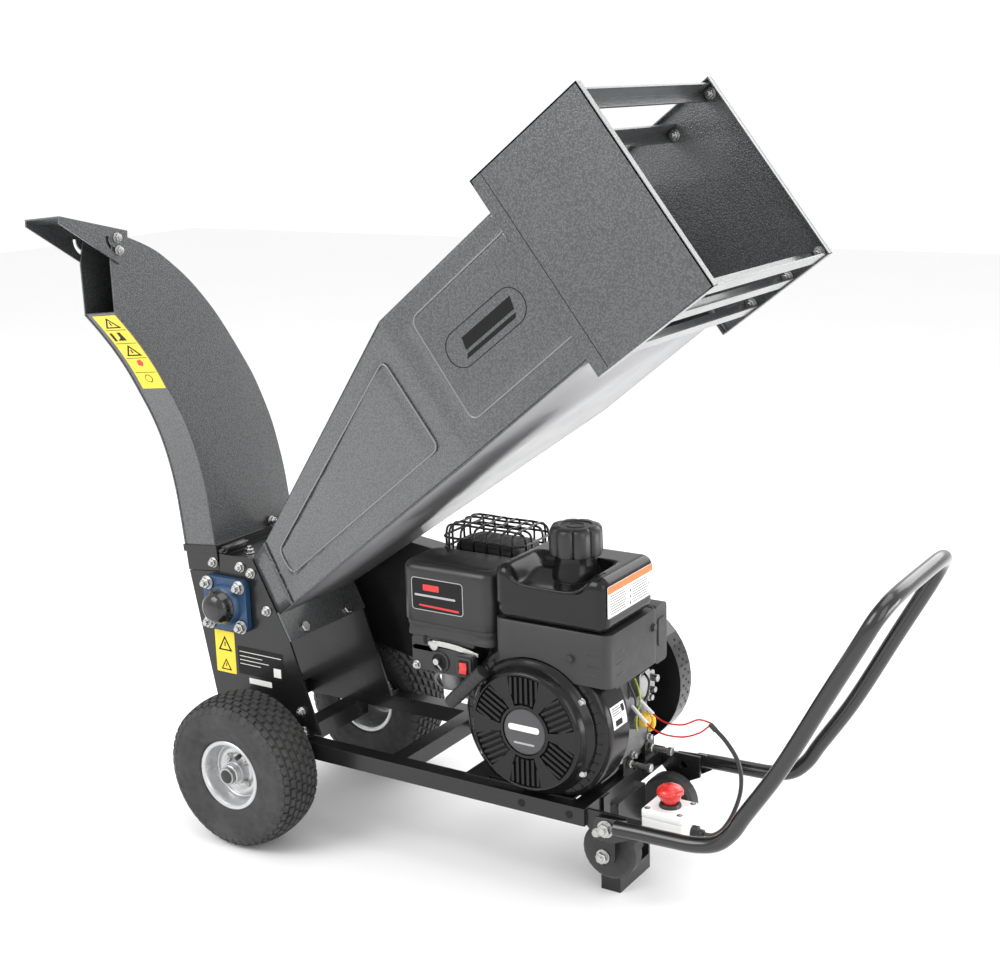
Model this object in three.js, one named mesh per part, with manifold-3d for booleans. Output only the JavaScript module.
import * as THREE from 'three';
import { mergeVertices } from 'three/examples/jsm/utils/BufferGeometryUtils.js';
import Module from 'manifold-3d';

// Petrol wood chipper.  Millimetres, +Z up.  While building, X = 0 is the wheel axle, +X runs to the
// tow handle, Y = 0 is the middle of the chassis and Z = 0 is the ground.
const GAP = 0.3;            // clearance left between pieces that touch
const SHEET = 3;            // folded sheet thickness

// running gear
const TYRE_R = 130;
const TYRE_HALF_W = 48;
const WHEEL_Y = 188;
const RIM_FLANGE_R = 60;
const RIM_HALF_W = 40;
const AXLE_R = 10;
const CASTER = { x: 650, z: 102, r: 45, inner: 84, outer: 111.4 };

// chassis rails
const RAIL = { x0: -120, x1: 622, yIn: 106, yOut: 134, z0: 146, z1: 174 };
const DECK_Z = RAIL.z1 + GAP;
const TENSION_Y = [15, 88];

// rotor housing
const PLATE_Y = 103;
const PLATE_T = 4;
const ROTOR = { x: -84, z: 382, drumR: 54, shaftR: 12.5 };
const MOUTH_TOP = [-28, 466];
const MOUTH_LOW = [20, 375];
const FRONT_LOW = [43, 330];
const FACE_N = [0.889, 0.457];

// discharge chute, in its own leaning plane
const CHUTE = { x: -107, z: 471, width: 70, lean: THREE.MathUtils.degToRad(5.5) };
const CHUTE_INNER = [[0, 0], [-1, 60], [-3, 110], [-9, 157], [-19, 201], [-34, 244], [-53, 285], [-72, 323],
  [-94, 359], [-118, 392], [-145, 425]];
const CHUTE_OUTER = [[206, 0], [204, 54], [201, 102], [194, 149], [185, 192], [171, 234], [154, 276],
  [132, 316], [86, 390], [59, 425], [29, 458], [-5, 488], [-39, 513], [-85, 535], [-125, 549]];
const FLAP_PIVOT = [-121, 540];
const FLAP_SLOT_R = 20;

// feed hopper
const FEED_DIR = [0.794, 0.608];
const HOPPER_HALF_W = 201;
const WING = { back: [489.8, 1096.9], low: [694.3, 845.8], y: 204.4, t: 3 };

// engine
const CRANK = { x: 528, z: 284, r: 12.5 };
const ENGINE_Z = 178.6;
const GUARD = { y0: 138, y1: 174, rotorR: 98, crankR: 122 };

// tow handle
const PIVOT = { x: 661, z: 154 };
const LEG_Y = 141;
const TUBE_R = 12;

const wasm = await Module();
wasm.setup();

function toManifold(geometry) {
  const plain = geometry.clone();
  plain.deleteAttribute('normal');
  plain.deleteAttribute('uv');
  const merged = mergeVertices(plain, 1e-4);
  const mesh = new wasm.Mesh({
    numProp: 3,
    vertProperties: new Float32Array(merged.attributes.position.array),
    triVerts: new Uint32Array(merged.index.array),
  });
  return new wasm.Manifold(mesh);
}

function fromManifold(solid) {
  const mesh = solid.getMesh();
  const geometry = new THREE.BufferGeometry();
  geometry.setAttribute('position', new THREE.BufferAttribute(new Float32Array(mesh.vertProperties), 3));
  geometry.setIndex(new THREE.BufferAttribute(new Uint32Array(mesh.triVerts), 1));
  geometry.computeVertexNormals();
  return geometry;
}

function union(...parts) {
  return fromManifold(parts.map(toManifold).reduce((a, b) => a.add(b)));
}

function cut(base, ...tools) {
  return fromManifold(tools.map(toManifold).reduce((a, b) => a.subtract(b), toManifold(base)));
}

function box(x0, x1, y0, y1, z0, z1) {
  const geometry = new THREE.BoxGeometry(x1 - x0, y1 - y0, z1 - z0);
  return geometry.translate((x0 + x1) / 2, (y0 + y1) / 2, (z0 + z1) / 2);
}

function shapeOf(points) {
  const shape = new THREE.Shape(points.map(([a, b]) => new THREE.Vector2(a, b)));
  return shape;
}

// prism whose outline lies in XZ and which spans y0..y1
function prismXZ(points, y0, y1) {
  const geometry = new THREE.ExtrudeGeometry(shapeOf(points), { depth: y1 - y0, bevelEnabled: false });
  return geometry.rotateX(Math.PI / 2).translate(0, y1, 0);
}

// prism whose outline lies in XY and which spans z0..z1
function prismXY(points, z0, z1, bevel = 0) {
  const options = { depth: z1 - z0 - 2 * bevel, bevelEnabled: bevel > 0, bevelThickness: bevel,
    bevelSize: bevel, bevelOffset: -bevel, bevelSegments: 2, curveSegments: 6 };
  return new THREE.ExtrudeGeometry(shapeOf(points), options).translate(0, 0, z0 + bevel);
}

// prism whose outline lies in YZ and which spans x0..x1
function prismYZ(points, x0, x1) {
  const geometry = new THREE.ExtrudeGeometry(shapeOf(points), { depth: x1 - x0, bevelEnabled: false });
  const basis = new THREE.Matrix4().makeBasis(
    new THREE.Vector3(0, 1, 0), new THREE.Vector3(0, 0, 1), new THREE.Vector3(1, 0, 0));
  return geometry.applyMatrix4(basis).translate(x0, 0, 0);
}

function ring(cx, cy, radius, count, from = 0, to = 2 * Math.PI) {
  const closed = Math.abs(to - from - 2 * Math.PI) < 1e-6;
  const steps = closed ? count : count - 1;
  return Array.from({ length: count }, (_, i) => {
    const a = from + ((to - from) * i) / steps;
    return [cx + radius * Math.cos(a), cy + radius * Math.sin(a)];
  });
}

function roundedRect(x0, x1, y0, y1, r, n = 5) {
  const q = Math.PI / 2;
  return [
    ...ring(x1 - r, y1 - r, r, n, 0, q), ...ring(x0 + r, y1 - r, r, n, q, 2 * q),
    ...ring(x0 + r, y0 + r, r, n, 2 * q, 3 * q), ...ring(x1 - r, y0 + r, r, n, 3 * q, 4 * q),
  ];
}

// turned piece about an axis through the origin; the profile is [radius, along]
function turned(profile, axis = 'y', segments = 32) {
  const points = profile.map(([r, a]) => new THREE.Vector2(r, a));
  if (THREE.ShapeUtils.area(points) < 0) points.reverse();
  const geometry = new THREE.LatheGeometry(points, segments);
  if (axis === 'x') geometry.rotateZ(-Math.PI / 2);
  if (axis === 'z') geometry.rotateX(Math.PI / 2);
  return geometry;
}

// solid round bar from a to b along one axis
function bar(axis, r, a, b, at, segments = 16) {
  const geometry = turned([[0, a], [r, a], [r, b], [0, b]], axis, segments);
  return geometry.translate(...at);
}

// bolt along an axis: six-sided head at `a`, shank to `b`, nut set back from the end
function bolt(axis, r, a, b, at, nut = true) {
  const s = Math.sign(b - a);
  const head = 0.65 * 2 * r;
  const low = (u, v) => [Math.min(u, v), Math.max(u, v)];
  const pieces = [
    bar(axis, 1.75 * r, ...low(a, a + s * head), at, 6),
    bar(axis, r, ...low(a + s * head * 0.5, b), at, 10),
  ];
  if (nut) pieces.push(bar(axis, 1.7 * r, ...low(b - s * (2.2 * r), b - s * 0.5 * r), at, 6));
  return union(...pieces);
}

function along(points, radius, sides, steps) {
  const path = new THREE.CatmullRomCurve3(points.map((p) => new THREE.Vector3(...p)), false, 'centripetal');
  return new THREE.ExtrudeGeometry(shapeOf(ring(0, 0, radius, sides)), { steps, extrudePath: path });
}

// skin joining successive loops of equal length, capped at both ends
function loft(loops) {
  const n = loops[0].length;
  const index = [];
  for (let k = 0; k + 1 < loops.length; k += 1) {
    for (let i = 0; i < n; i += 1) {
      const a = k * n + i;
      const b = k * n + ((i + 1) % n);
      index.push(a, b + n, b, a, a + n, b + n);
    }
  }
  const last = (loops.length - 1) * n;
  for (let i = 1; i + 1 < n; i += 1) {
    index.push(0, i, i + 1, last, last + i + 1, last + i);
  }
  const geometry = new THREE.BufferGeometry();
  geometry.setAttribute('position', new THREE.Float32BufferAttribute(loops.flat(2), 3));
  geometry.setIndex(index);
  geometry.computeVertexNormals();
  return geometry;
}

// four corners of a hopper section, from its top and bottom edge in XZ and its half width
function section(top, low, half) {
  return [[low[0], half, low[1]], [low[0], -half, low[1]], [top[0], -half, top[1]], [top[0], half, top[1]]];
}

function offsetPath(points, distance) {
  return points.map((p, i) => {
    const a = points[Math.max(i - 1, 0)];
    const b = points[Math.min(i + 1, points.length - 1)];
    const length = Math.hypot(b[0] - a[0], b[1] - a[1]);
    return [p[0] - (distance * (b[1] - a[1])) / length, p[1] + (distance * (b[0] - a[0])) / length];
  });
}

// outline around two circles in XZ, joined by their outer tangents
function beltLine(rA, rB, n = 22) {
  const dx = CRANK.x - ROTOR.x;
  const dz = CRANK.z - ROTOR.z;
  const base = Math.atan2(dz, dx);
  const lean = Math.acos((rA - rB) / Math.hypot(dx, dz));
  return [
    ...ring(ROTOR.x, ROTOR.z, rA, n, base + lean, base + 2 * Math.PI - lean),
    ...ring(CRANK.x, CRANK.z, rB, n, base - lean, base + lean),
  ];
}

const assembly = new THREE.Group();
assembly.name = 'wood_chipper';

const PAINT_GREY = [0x6f7274, 0.55, 0.35];
const PAINT_BLACK = [0x17181a, 0.4, 0.3];
const PLASTIC_BLACK = [0x1d1e20, 0.5, 0.0];
const ZINC = [0xc9ccd0, 0.3, 0.9];
const STEEL = [0x9a9da1, 0.35, 0.9];
const CAST = [0x84878a, 0.55, 0.7];
const RUBBER = [0x2b2c2e, 0.85, 0.0];

function add(name, geometry, [color, roughness, metalness]) {
  const mesh = new THREE.Mesh(geometry, new THREE.MeshStandardMaterial({ color, roughness, metalness }));
  mesh.name = name;
  assembly.add(mesh);
}

const SIDES = [['left', -1], ['right', 1]];

// ---- wheels and axle ---------------------------------------------------------------------------
function tyre() {
  const w = TYRE_HALF_W;
  const r = TYRE_R;
  const bead = RIM_FLANGE_R - 5;
  const outer = [[bead, 36], [RIM_FLANGE_R + 4, 42], [92, w], [0.86 * r, 46], [0.945 * r, 41], [0.985 * r, 30],
    [r, 12], [r, -12], [0.985 * r, -30], [0.945 * r, -41], [0.86 * r, -46], [92, -w], [RIM_FLANGE_R + 4, -42],
    [bead, -36]];
  const inner = [[bead, -32], [96, -40], [119, -16], [119, 16], [96, 40], [bead, 32], [bead, 36]];
  return turned([...outer, ...inner], 'y', 28);
}

function rim() {
  const profile = [[AXLE_R + GAP, -38], [17, -38], [17, -8], [42, -6], [46, -18], [44, -31], [48, -36],
    [51, -40], [54, -40], [54, -37], [50, -30], [49, 0], [50, 30], [54, 37], [54, 40], [51, 40], [48, 36],
    [45, 30], [44, 2], [17, 0], [17, 38], [AXLE_R + GAP, 38], [AXLE_R + GAP, -38]];
  return turned(profile, 'y', 28);
}

for (const [side, s] of SIDES) {
  add(`${side}_tyre`, tyre().translate(0, s * WHEEL_Y, TYRE_R), RUBBER);
  const wheel = rim();
  if (s > 0) wheel.rotateZ(Math.PI);
  add(`${side}_wheel_rim`, wheel.translate(0, s * WHEEL_Y, TYRE_R), [0xc4c6c8, 0.35, 0.7]);
  const roller = turned([[6.4, CASTER.inner], [CASTER.r - 5, CASTER.inner], [CASTER.r, CASTER.inner + 4],
    [CASTER.r, CASTER.outer - 4], [CASTER.r - 5, CASTER.outer], [6.4, CASTER.outer], [6.4, CASTER.inner]], 'y', 28);
  if (s < 0) roller.rotateZ(Math.PI);
  add(`${side}_front_roller`, roller.translate(CASTER.x, 0, CASTER.z), [0x303133, 0.7, 0.0]);
}
const axleEnd = WHEEL_Y + 45;
add('axle', union(
  bar('y', AXLE_R, -axleEnd, axleEnd, [0, 0, TYRE_R], 20),
  bar('y', 17, -138.5, -134.5, [0, 0, TYRE_R], 20),
  bar('y', 17, 134.5, 138.5, [0, 0, TYRE_R], 20),
  bar('y', 15, -axleEnd, -axleEnd + 6, [0, 0, TYRE_R], 20),
  bar('y', 15, axleEnd - 6, axleEnd, [0, 0, TYRE_R], 20)), STEEL);

// ---- welded chassis ----------------------------------------------------------------------------
function chassis() {
  const pieces = [];
  for (const [, s] of SIDES) {
    const y = [s * RAIL.yIn, s * RAIL.yOut].sort((a, b) => a - b);
    pieces.push(box(RAIL.x0, RAIL.x1, ...y, RAIL.z0, RAIL.z1));
    const ear = [[600, 147], [600, 173], [690, 173], [690, 138], [670, 128], [670, 110],
      ...ring(654, 102, 16, 8, 0, -Math.PI), [638, 130], [622, 147]];
    pieces.push(prismXZ(ear, ...[s * 122.5, s * 128].sort((a, b) => a - b)));
  }
  for (const [x0, x1] of [[RAIL.x0, RAIL.x0 + 28], [250, 278], [594, RAIL.x1]]) {
    pieces.push(box(x0, x1, -RAIL.yIn - 1, RAIL.yIn + 1, RAIL.z0, RAIL.z1));
  }
  pieces.push(box(-17, 17, -RAIL.yOut, RAIL.yOut, 116, RAIL.z0 + 1));
  for (const y of TENSION_Y) pieces.push(box(612, 618, y - 16, y + 16, RAIL.z1 - 1, 202));
  pieces.push(box(607, 631, -43, 47, 40, RAIL.z0 + 1));
  pieces.push(box(618, 776, -80, -60, 134, 138), box(700, 776, -112, -60, 134, 138));
  pieces.push(box(620, 626, -80, -60, 136, 172));
  const stubs = SIDES.map(([, s]) => bar('y', 6, ...[s * 90, s * 124].sort((a, b) => a - b),
    [CASTER.x, 0, CASTER.z], 16));
  const holes = SIDES.map(([, s]) => bar('y', 6.4, ...[s * 100, s * 140].sort((a, b) => a - b),
    [PIVOT.x, 0, PIVOT.z], 14));
  const bores = TENSION_Y.map((y) => bar('x', 5.4, 600, 630, [0, y, 190], 12));
  bores.push(bar('y', 5.4, -60, 60, [619, 0, 62], 12));
  const axleBore = bar('y', AXLE_R + GAP, -150, 150, [0, 0, TYRE_R], 20);
  return cut(union(...pieces, ...stubs), axleBore, ...holes, ...bores);
}
add('chassis_frame', chassis(), PAINT_BLACK);
add('engine_plate', cut(box(398, 592, -117, RAIL.yOut, DECK_Z, DECK_Z + 4),
  ...[[440, -111], [520, -111], [440, 117], [520, 117]].map(([x, y]) => box(x, x + 40, y - 4, y + 4, 170, 190))), PAINT_BLACK);

// ---- rotor housing -----------------------------------------------------------------------------
const plateOutline = [[-121.7, DECK_Z], [-172, 427.5], [-103, 434.2], [-100.5, 466], MOUTH_TOP, FRONT_LOW,
  [98, DECK_Z]].reverse();
for (const [side, s] of SIDES) {
  const y = [s * (PLATE_Y - PLATE_T), s * PLATE_Y].sort((a, b) => a - b);
  const foot = [s * (PLATE_Y - 1), s * 131].sort((a, b) => a - b);
  const bore = bar('y', 30, ...[s * 90, s * 110].sort((a, b) => a - b), [ROTOR.x, 0, ROTOR.z], 24);
  add(`${side}_housing_plate`, cut(union(prismXZ(plateOutline, ...y),
    box(-112, 92, ...foot, DECK_Z, DECK_Z + 4)), bore), PAINT_BLACK);
}
const INSIDE = PLATE_Y - PLATE_T - GAP;
function arcXZ(r, from, to, n = 20) {
  return ring(ROTOR.x, ROTOR.z, r, n, THREE.MathUtils.degToRad(from), THREE.MathUtils.degToRad(to));
}
add('housing_wrapper', prismXZ([[-170.3, 424], ...arcXZ(76, 178, 334), [27.5, 348.6], [27.5, 352],
  ...arcXZ(72, 334, 178), [-166.3, 424]], -INSIDE, INSIDE), PAINT_BLACK);
add('anvil_blade', box(-13, 18, -INSIDE, INSIDE, 352.5, 364), STEEL);
function onFace([x, z], out, down) {
  return [x + FACE_N[0] * out + FACE_N[1] * down, z + FACE_N[1] * out - FACE_N[0] * down];
}

function leaning(geometry) {
  return geometry.rotateY(-CHUTE.lean).translate(CHUTE.x, -PLATE_Y, CHUTE.z);
}
function rectangularTube(s0, s1) {
  const w = CHUTE.width;
  return cut(box(-w, 0, 0, 2 * PLATE_Y, s0, s1),
    box(-w + SHEET, -SHEET, SHEET, 2 * PLATE_Y - SHEET, s0 - 5, s1 + 5));
}
const deck = box(-106, -32, -INSIDE, INSIDE, 460, 464);
const sweep = bar('y', 66, -96, 96, [ROTOR.x, 0, ROTOR.z], 32);
add('chute_socket', cut(union(leaning(rectangularTube(-36, -GAP)), deck), sweep), PAINT_BLACK);

// ---- chute and deflector -----------------------------------------------------------------------
function chute() {
  const outlet = [[-139, 505], [-127, 541]];
  const skin = [...CHUTE_OUTER, ...outlet.slice().reverse(), ...CHUTE_INNER.slice().reverse()];
  const hollowOuter = offsetPath(CHUTE_OUTER, SHEET);
  const hollowInner = offsetPath(CHUTE_INNER, -SHEET);
  const hollow = [[hollowOuter[0][0], -10], ...hollowOuter, [-165, 562], [-175, 440], [-150, 427.5],
    ...hollowInner.slice(0, -1).reverse(), [hollowInner[0][0], -10]];
  const duct = cut(prismYZ(skin, -CHUTE.width, 0), prismYZ(hollow, -CHUTE.width + SHEET, -SHEET));
  const holes = [FLAP_PIVOT, [FLAP_PIVOT[0], FLAP_PIVOT[1] - FLAP_SLOT_R]]
    .map(([y, z]) => bar('x', 3.6, -CHUTE.width - 5, 5, [0, y, z], 12));
  return leaning(cut(duct, ...holes));
}
add('discharge_chute', chute(), PAINT_GREY);

function deflector() {
  const [py, pz] = FLAP_PIVOT;
  const outline = [[-96, 549], [-232, 583], [-234, 572], [-123, 499], [-101, 520]];
  const roof = [[-96, 549], [-232, 583], [-232.6, 580.6], [-96.6, 546.6]];
  const out = 0.4;
  const rad = THREE.MathUtils.degToRad;
  const slot = [...ring(py, pz, FLAP_SLOT_R + 3.6, 12, rad(270 - 101), rad(270 + 9)),
    ...ring(py, pz, FLAP_SLOT_R - 3.6, 12, rad(270 + 11), rad(270 - 104))];
  const body = union(prismYZ(outline, out, out + 2.5),
    prismYZ(outline, -CHUTE.width - out - 2.5, -CHUTE.width - out),
    prismYZ(roof, -CHUTE.width - out - 2.5, out + 2.5));
  return leaning(cut(body, prismYZ(slot, -CHUTE.width - 10, 10),
    bar('x', 3.6, -CHUTE.width - 10, 10, [0, py, pz], 12)));
}
add('chute_deflector', deflector(), PAINT_GREY);
function chuteBolt(y, z) {
  const w = CHUTE.width;
  return leaning(union(bar('x', 6.2, 3.2, 8, [0, y, z], 6), bar('x', 3, -w - 9, 4, [0, y, z], 10),
    bar('x', 6.2, -w - 8, -w - 3.2, [0, y, z], 6)));
}
add('deflector_pivot_bolt', chuteBolt(...FLAP_PIVOT), ZINC);

// ---- rotor and bearings ------------------------------------------------------------------------
const rotorAt = [ROTOR.x, 0, ROTOR.z];
const drum = turned([[0, -136], [ROTOR.shaftR, -136], [ROTOR.shaftR, -90], [ROTOR.drumR, -90],
  [ROTOR.drumR, 90], [ROTOR.shaftR, 90], [ROTOR.shaftR, 168], [0, 168]], 'y', 32);
add('rotor_drum', drum.translate(...rotorAt), STEEL);
for (const [name, s] of [['first', 1], ['second', -1]]) {
  const blade = box(...[s * (ROTOR.drumR + 0.4), s * 62].sort((a, b) => a - b), -88, 88, -9, 9);
  add(`${name}_cutter_blade`, blade.translate(...rotorAt), [0xb4b8bc, 0.25, 0.95]);
}
for (const [side, s] of SIDES) {
  const plate = prismXZ(roundedRect(-47.5, 47.5, -47.5, 47.5, 12), -13.5, 0);
  const hub = turned([[0, -25], [29, -25], [35, -13], [35, -1], [0, -1]], 'y', 28);
  const bore = bar('y', ROTOR.shaftR + 0.4, -40, 10, [0, 0, 0], 24);
  const holes = [[-35, -35], [35, -35], [-35, 35], [35, 35]]
    .map(([x, z]) => bar('y', 5.6, -30, 10, [x, 0, z], 10));
  const open = cut(union(plate, hub), bore, ...holes);
  const cap = turned([[24, -24], [27, -24], [27, -38], [22, -45], [12, -49], [0, -50], [0, -47.5],
    [11, -46.5], [20, -43], [24, -37], [24, -24]], 'y', 28);
  const casting = s < 0 ? union(open, cap) : open;
  if (s > 0) casting.rotateZ(Math.PI);
  add(`${side}_flange_bearing`, casting.translate(ROTOR.x, s * (PLATE_Y + GAP), ROTOR.z), [0x1f4f7c, 0.5, 0.2]);
}
// ---- belt drive on the far side ----------------------------------------------------------------
function pulley(r, bore, y0, y1) {
  const mid = (y0 + y1) / 2;
  return turned([[bore, y0], [r, y0], [r, mid - 7], [r - 9, mid - 4], [r - 9, mid + 4], [r, mid + 7],
    [r, y1], [bore, y1], [bore, y0]], 'y', 32);
}
add('rotor_pulley', pulley(62, ROTOR.shaftR + GAP, 145, 165).translate(...rotorAt), CAST);
add('clutch_drum', pulley(55, CRANK.r + GAP, 145, 165).translate(CRANK.x, 0, CRANK.z), CAST);
add('drive_belt', cut(prismXZ(beltLine(61, 54), 151.5, 158.5),
  prismXZ(beltLine(53.5, 46.5), 140, 170)), [0x242526, 0.8, 0.0]);
const guardShell = cut(prismXZ(beltLine(GUARD.rotorR, GUARD.crankR), GUARD.y0, GUARD.y1),
  prismXZ(beltLine(GUARD.rotorR - 2, GUARD.crankR - 2), GUARD.y0 - 5, GUARD.y1 - 2));
add('belt_guard', guardShell, PAINT_BLACK);
const backPlate = prismXZ(beltLine(GUARD.rotorR, GUARD.crankR), GUARD.y0 - 3.3, GUARD.y0 - GAP);
add('belt_guard_back_plate', cut(backPlate, bar('y', 22, 120, 150, rotorAt, 20),
  bar('y', 22, 120, 150, [CRANK.x, 0, CRANK.z], 20)), PAINT_BLACK);

// ---- feed hopper -------------------------------------------------------------------------------
function hopper() {
  const outer = [
    section(onFace(MOUTH_TOP, 0.4, 0), onFace(MOUTH_LOW, 0.4, 0), PLATE_Y),
    section([0, 498], [53, 398.5], PLATE_Y),
    section([331, 900], [480, 709], HOPPER_HALF_W),
    section([530, 1061], [680, 870], HOPPER_HALF_W),
  ];
  const t = SHEET;
  const inner = [
    section([-36, 452], [4, 375], PLATE_Y - t),
    section([2, 491.5], [47, 403], PLATE_Y - t),
    section([334, 896], [477.5, 713], HOPPER_HALF_W - t),
    section([552, 1072], [697, 886], HOPPER_HALF_W - t),
  ];
  const flange = prismXZ([onFace(MOUTH_LOW, 0.4, -6), onFace(MOUTH_LOW, 0.4, 50),
    onFace(MOUTH_LOW, 4.4, 50), onFace(MOUTH_LOW, 4.4, -6)], -PLATE_Y, PLATE_Y);
  return cut(union(loft(outer), flange), loft(inner));
}
add('feed_hopper', hopper(), PAINT_GREY);

function feedPoint(u, v) {
  return [WING.low[0] + FEED_DIR[0] * u - FEED_DIR[1] * v, WING.low[1] + FEED_DIR[1] * u + FEED_DIR[0] * v];
}
const WING_H = 323;
const WING_L = 211;
for (const [side, s] of SIDES) {
  const y = [s * (WING.y - WING.t), s * WING.y].sort((a, b) => a - b);
  const lip = [s * (WING.y - 14), s * WING.y].sort((a, b) => a - b);
  const panel = prismXZ([feedPoint(0, 0), feedPoint(WING_L, 0), feedPoint(WING_L, WING_H),
    feedPoint(0, WING_H)], ...y);
  const front = prismXZ([feedPoint(WING_L - 2, 0), feedPoint(WING_L, 0), feedPoint(WING_L, WING_H),
    feedPoint(WING_L - 2, WING_H)], ...lip);
  add(`${side}_mouth_panel`, union(panel, front), PAINT_GREY);
}
const BARS = { lower_front: [184, 2], lower_middle: [122, 2], lower_rear: [50, 2], upper_front: [182, 312],
  upper_rear: [100, 300] };
for (const [name, [u, v]] of Object.entries(BARS)) {
  const half = WING.y - WING.t - GAP;
  const lift = v > 100 ? -18 : 18;
  const web = prismXZ([feedPoint(u, v), feedPoint(u + 24, v), feedPoint(u + 24, v + 3), feedPoint(u, v + 3)],
    -half, half);
  const low = Math.min(v, v + lift + 3);
  const high = Math.max(v + 3, v + lift);
  const leg = prismXZ([feedPoint(u, low), feedPoint(u + 3, low), feedPoint(u + 3, high), feedPoint(u, high)],
    -half, half);
  add(`${name}_mouth_bar`, union(web, leg), PAINT_BLACK);
}

// ---- engine ------------------------------------------------------------------------------------
const crankAt = [CRANK.x, 0, CRANK.z];
function engineBlock() {
  const fins = Array.from({ length: 6 }, (_, i) => box(352 + i * 16, 358 + i * 16, -42, 78, 268, 372));
  const body = union(box(458, 610, -46, 90, ENGINE_Z + 6, 372), box(440, 606, -50, 95, ENGINE_Z, 190),
    bar('y', 46, 80, 112, crankAt, 24), bar('x', 15, 600, 634, [0, 30, 262], 16),
    box(338, 460, -22, 58, 286, 354), prismYZ(roundedRect(-26, 62, 282, 358, 14), 314, 340), ...fins);
  return cut(body, bar('y', CRANK.r + 0.6, -60, 120, crankAt, 24), bar('x', 4.6, 590, 640, [0, 30, 262], 10));
}
add('engine_block', engineBlock(), CAST);
const clipped = ring(CRANK.x, CRANK.z, 128, 40).map(([x, z]) => [x, Math.max(z, 182)]);
const clippedIn = ring(CRANK.x, CRANK.z, 125, 40).map(([x, z]) => [x, Math.max(z, 185)]);
add('blower_housing', cut(prismXZ(clipped, -118, -52), prismXZ(clippedIn, -115, -40),
  bar('y', 92, -130, -100, crankAt, 36), bar('y', 3.4, -130, -100, [429, 0, 339], 10)), PLASTIC_BLACK);
function recoilCover() {
  const shell = turned([[94, 0], [108, 0], [108, -6], [99, -14], [80, -27], [76, -29.5], [30, -30],
    [0, -30], [0, -27], [30, -27], [74, -26.5], [94, -10], [94, 0]], 'y', 32);
  const slots = Array.from({ length: 12 }, (_, i) =>
    box(44, 70, -60, -20, -4, 4).rotateY((i * Math.PI) / 6));
  return cut(shell, ...slots).translate(CRANK.x, -118 - GAP, CRANK.z);
}
add('recoil_cover', recoilCover(), PLASTIC_BLACK);
add('crankshaft', turned([[0, -112], [60, -112], [60, -104], [88, -100], [88, -66], [30, -60], [CRANK.r, -50],
  [CRANK.r, 170], [0, 170]], 'y', 32).translate(...crankAt), STEEL);
const gripBar = bar('x', 11, -44, 44, [0, 0, 0], 12).rotateY(-THREE.MathUtils.degToRad(45));
add('recoil_grip', union(gripBar, bar('y', 2.6, 5, 62, [0, 0, 0], 8)).translate(429, -150, 339), PLASTIC_BLACK);
const tankBox = prismXY(roundedRect(466, 658, -127, 33, 18), 448, 534, 9);
add('fuel_tank', cut(union(tankBox, bar('z', 30, 530, 546, [572, -58, 0], 24)),
  bar('x', 46, 440, 545, [0, -152, 545], 24)), PLASTIC_BLACK);
const lobes = Array.from({ length: 8 }, (_, i) => bar('z', 11, 547, 588,
  [572 + 31 * Math.cos((i * Math.PI) / 4), -58 + 31 * Math.sin((i * Math.PI) / 4), 0], 10));
add('fuel_cap', union(bar('z', 34, 546 + GAP, 592, [572, -58, 0], 24), ...lobes), PLASTIC_BLACK);
const skirt = union(box(464, 662, -122, -118.4, 366, 413.6), box(658.4, 662, -122, 36, 362, 413.6));
add('tank_cradle', union(prismXY(roundedRect(462, 662, -122, 36, 16), 413, 447.6),
  box(480, 600, -40, 30, 372.4, 414), cut(skirt, bar('y', 110, -130, -110, crankAt, 40))), PLASTIC_BLACK);
add('air_cleaner_cover', prismXY(roundedRect(284, 459.5, -115, -12, 34), 415.4, 511, 12), PLASTIC_BLACK);
add('carburettor', union(box(330, 398, -86, -47, 334, 393), bar('z', 21, 318, 336, [364, -66, 0], 20),
  prismXY(roundedRect(296, 456, -112, -14, 34), 392, 415)), CAST);
const panel = union(box(306, 402, -112, -108, 338, 391.6), box(396, 424, -130, -118.6, 344, 376),
  box(390, 400, -130, -108, 344, 360), box(306, 326, -109, -60, 376, 391.6));
add('control_panel', cut(panel, box(402, 419, -140, -121, 348, 371)), PLASTIC_BLACK);
add('throttle_lever', union(box(340, 432, -119.4, -116, 378, 387), bar('y', 8, -120, -112.4, [348, 0, 382], 16)), ZINC);
add('engine_switch', box(403.5, 417.5, -134, -124, 350.5, 368.5), [0xb01818, 0.4, 0.0]);
add('muffler', union(prismYZ(roundedRect(4, 90, 446, 514, 16), 304, 428),
  box(340, 372, 30, 70, 372.3, 448)), [0x3a3b3d, 0.6, 0.6]);

function mufflerGuard() {
  const g = { x0: 290, x1: 441, y0: -4, y1: 98, z0: 458, z1: 540, r: 2 };
  const wires = [];
  for (const z of [g.z0, 499, g.z1]) {
    for (const y of [g.y0, g.y1]) wires.push(bar('x', g.r, g.x0, g.x1, [0, y, z], 6));
    for (const x of [g.x0, g.x1]) wires.push(bar('y', g.r, g.y0, g.y1, [x, 0, z], 6));
  }
  for (const x of [g.x0, 328, 366, 404, g.x1]) {
    for (const y of [g.y0, g.y1]) wires.push(bar('z', g.r, g.z0, g.z1, [x, y, 0], 6));
    wires.push(bar('y', g.r, g.y0, g.y1, [x, 0, g.z1], 6));
  }
  wires.push(bar('x', g.r, g.x0, g.x1, [0, 47, g.z1], 6));
  return union(...wires);
}
add('muffler_guard', mufflerGuard(), PAINT_BLACK);
add('oil_dipstick', union(bar('x', 12, 634.4, 646, [0, 30, 262], 16), box(645, 662, 26, 34, 247, 277),
  bar('x', 4, 600, 636, [0, 30, 262], 10)), [0xe3b51c, 0.45, 0.0]);

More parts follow.
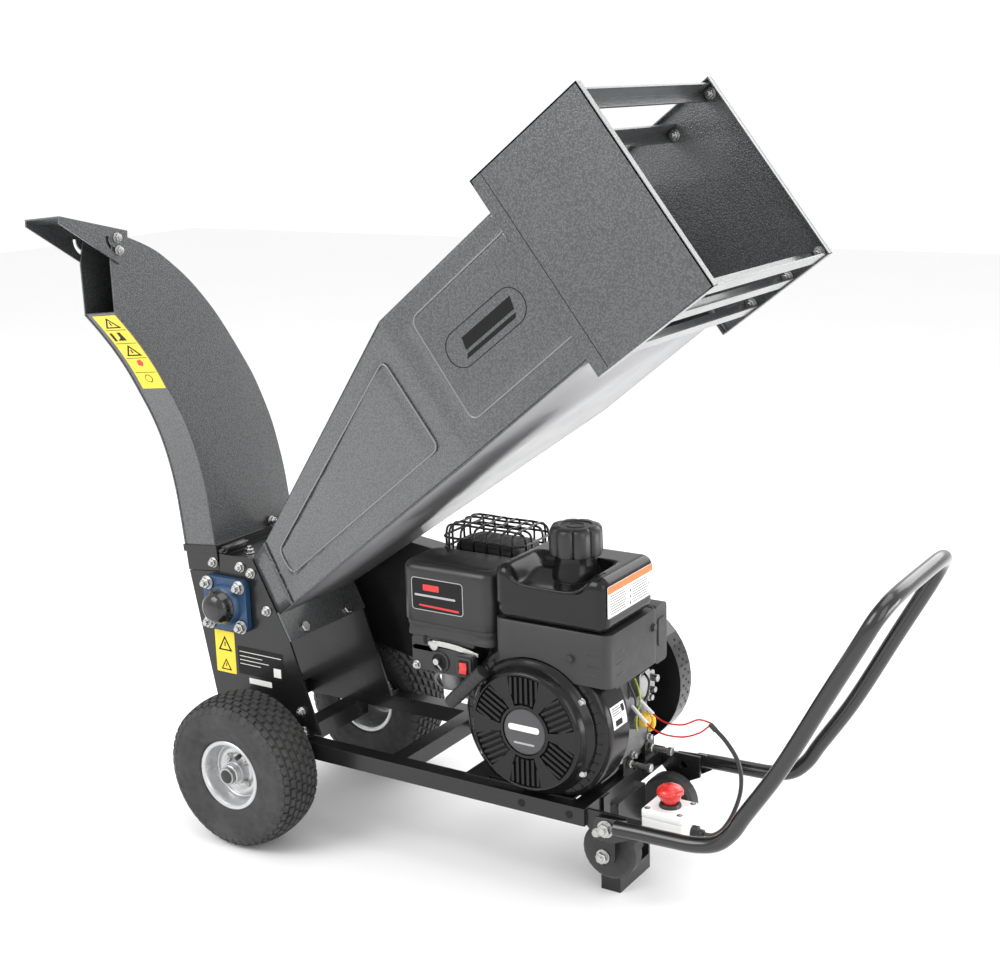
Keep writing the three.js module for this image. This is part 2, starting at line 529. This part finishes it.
// ---- tow handle --------------------------------------------------------------------------------
function handlePath() {
  const half = [[688, LEG_Y, 161], [760, LEG_Y, 163], [812, LEG_Y, 166], [842, LEG_Y, 176], [864, LEG_Y, 197],
    [882, LEG_Y, 226], [933, LEG_Y, 305], [1000, LEG_Y, 429], [1044, LEG_Y, 510], [1060, LEG_Y - 5, 541],
    [1070, LEG_Y - 22, 559], [1074, LEG_Y - 48, 566]];
  const near = half.map(([x, y, z]) => [x, -y, z]);
  return [...near, [1075, 0, 568], ...half.slice().reverse()];
}
const legPlate = (s) => prismXZ([[640, 134], [640, 170], [700, 173], [706, 150], [690, 140], [668, 132]].reverse(),
  ...[s * 134.6, s * 139].sort((a, b) => a - b));
const pivotHole = bar('y', 6.4, -160, 160, [PIVOT.x, 0, PIVOT.z], 14);
add('tow_handle', cut(union(along(handlePath(), TUBE_R, 10, 60), legPlate(-1), legPlate(1)), pivotHole), PAINT_BLACK);
for (const [side, s] of SIDES) {
  add(`${side}_handle_bolt`, bolt('y', 6, s * 147.4, s * 108.8, [PIVOT.x, 0, PIVOT.z]), ZINC);
}

// ---- parking foot ------------------------------------------------------------------------------
function supportFoot() {
  const cheeks = [[-48, -43.4], [47.4, 52]].map(([y0, y1]) =>
    prismXZ([[602, 20], [602, 84], ...ring(619, 84, 17, 8, Math.PI, 0), [636, 84], [636, 20]].reverse(), y0, y1));
  const slot = prismXZ([...ring(619, 80, 5.4, 8, 0, Math.PI), ...ring(619, 55, 5.4, 8, Math.PI, 2 * Math.PI)], -60, 60);
  return cut(union(box(602, 636, -48, 52, 0, 25), ...cheeks), slot);
}
add('support_foot', supportFoot(), PAINT_BLACK);

// ---- emergency stop ----------------------------------------------------------------------------
const STOP = { x: 741, y: -86 };
const stopBody = union(prismXY(roundedRect(707, 775, -116, -56, 4, 3), 138.4, 188),
  bar('z', 15, 187, 194, [STOP.x, STOP.y, 0], 24), bar('x', 8.5, 774, 784, [0, -80, 152], 6),
  bar('x', 6.5, 783, 793, [0, -80, 152], 14));
add('stop_switch_box', cut(stopBody, bar('z', 11.4, 170, 200, [STOP.x, STOP.y, 0], 20)), [0xe9e9e6, 0.5, 0.0]);
add('stop_button', turned([[0, 176], [11, 176], [11, 199], [14, 202], [16, 206], [20, 209], [20, 214], [15, 219],
  [0, 221]], 'z', 28).translate(STOP.x, STOP.y, 0), [0xcf1b14, 0.35, 0.0]);
const cableRoute = [[794, -80, 152], [806, -80, 153.5], [822, -80, 166], [840, -80, 198], [851, -80, 240],
  [847, -80, 275], [828, -80, 304], [803, -80, 326]];
add('stop_cable', along(cableRoute, 3.2, 8, 32), RUBBER);
const wireEnds = { first: [[800.6, -78, 328.2], [776, -62, 322], [735, -38, 297], [690, -16, 288], [640, 6, 306]],
  second: [[800.6, -82, 323.6], [780, -70, 305], [740, -52, 284], [690, -34, 278], [640, -14, 300]] };
for (const [name, route] of Object.entries(wireEnds)) {
  add(`${name}_stop_wire`, along(route, 1.3, 8, 40), [0xc01616, 0.5, 0.0]);
}

// ---- origin: middle of the footprint, on the ground --------------------------------------------
const cords = new Set(['stop_cable', 'first_stop_wire', 'second_stop_wire']);
const bounds = new THREE.Box3();
for (const mesh of assembly.children) {
  mesh.geometry.computeBoundingBox();
  if (!cords.has(mesh.name)) bounds.union(mesh.geometry.boundingBox);
}
const centre = bounds.getCenter(new THREE.Vector3());
for (const mesh of assembly.children) mesh.geometry.translate(-centre.x, -centre.y, -bounds.min.z);

export default assembly;
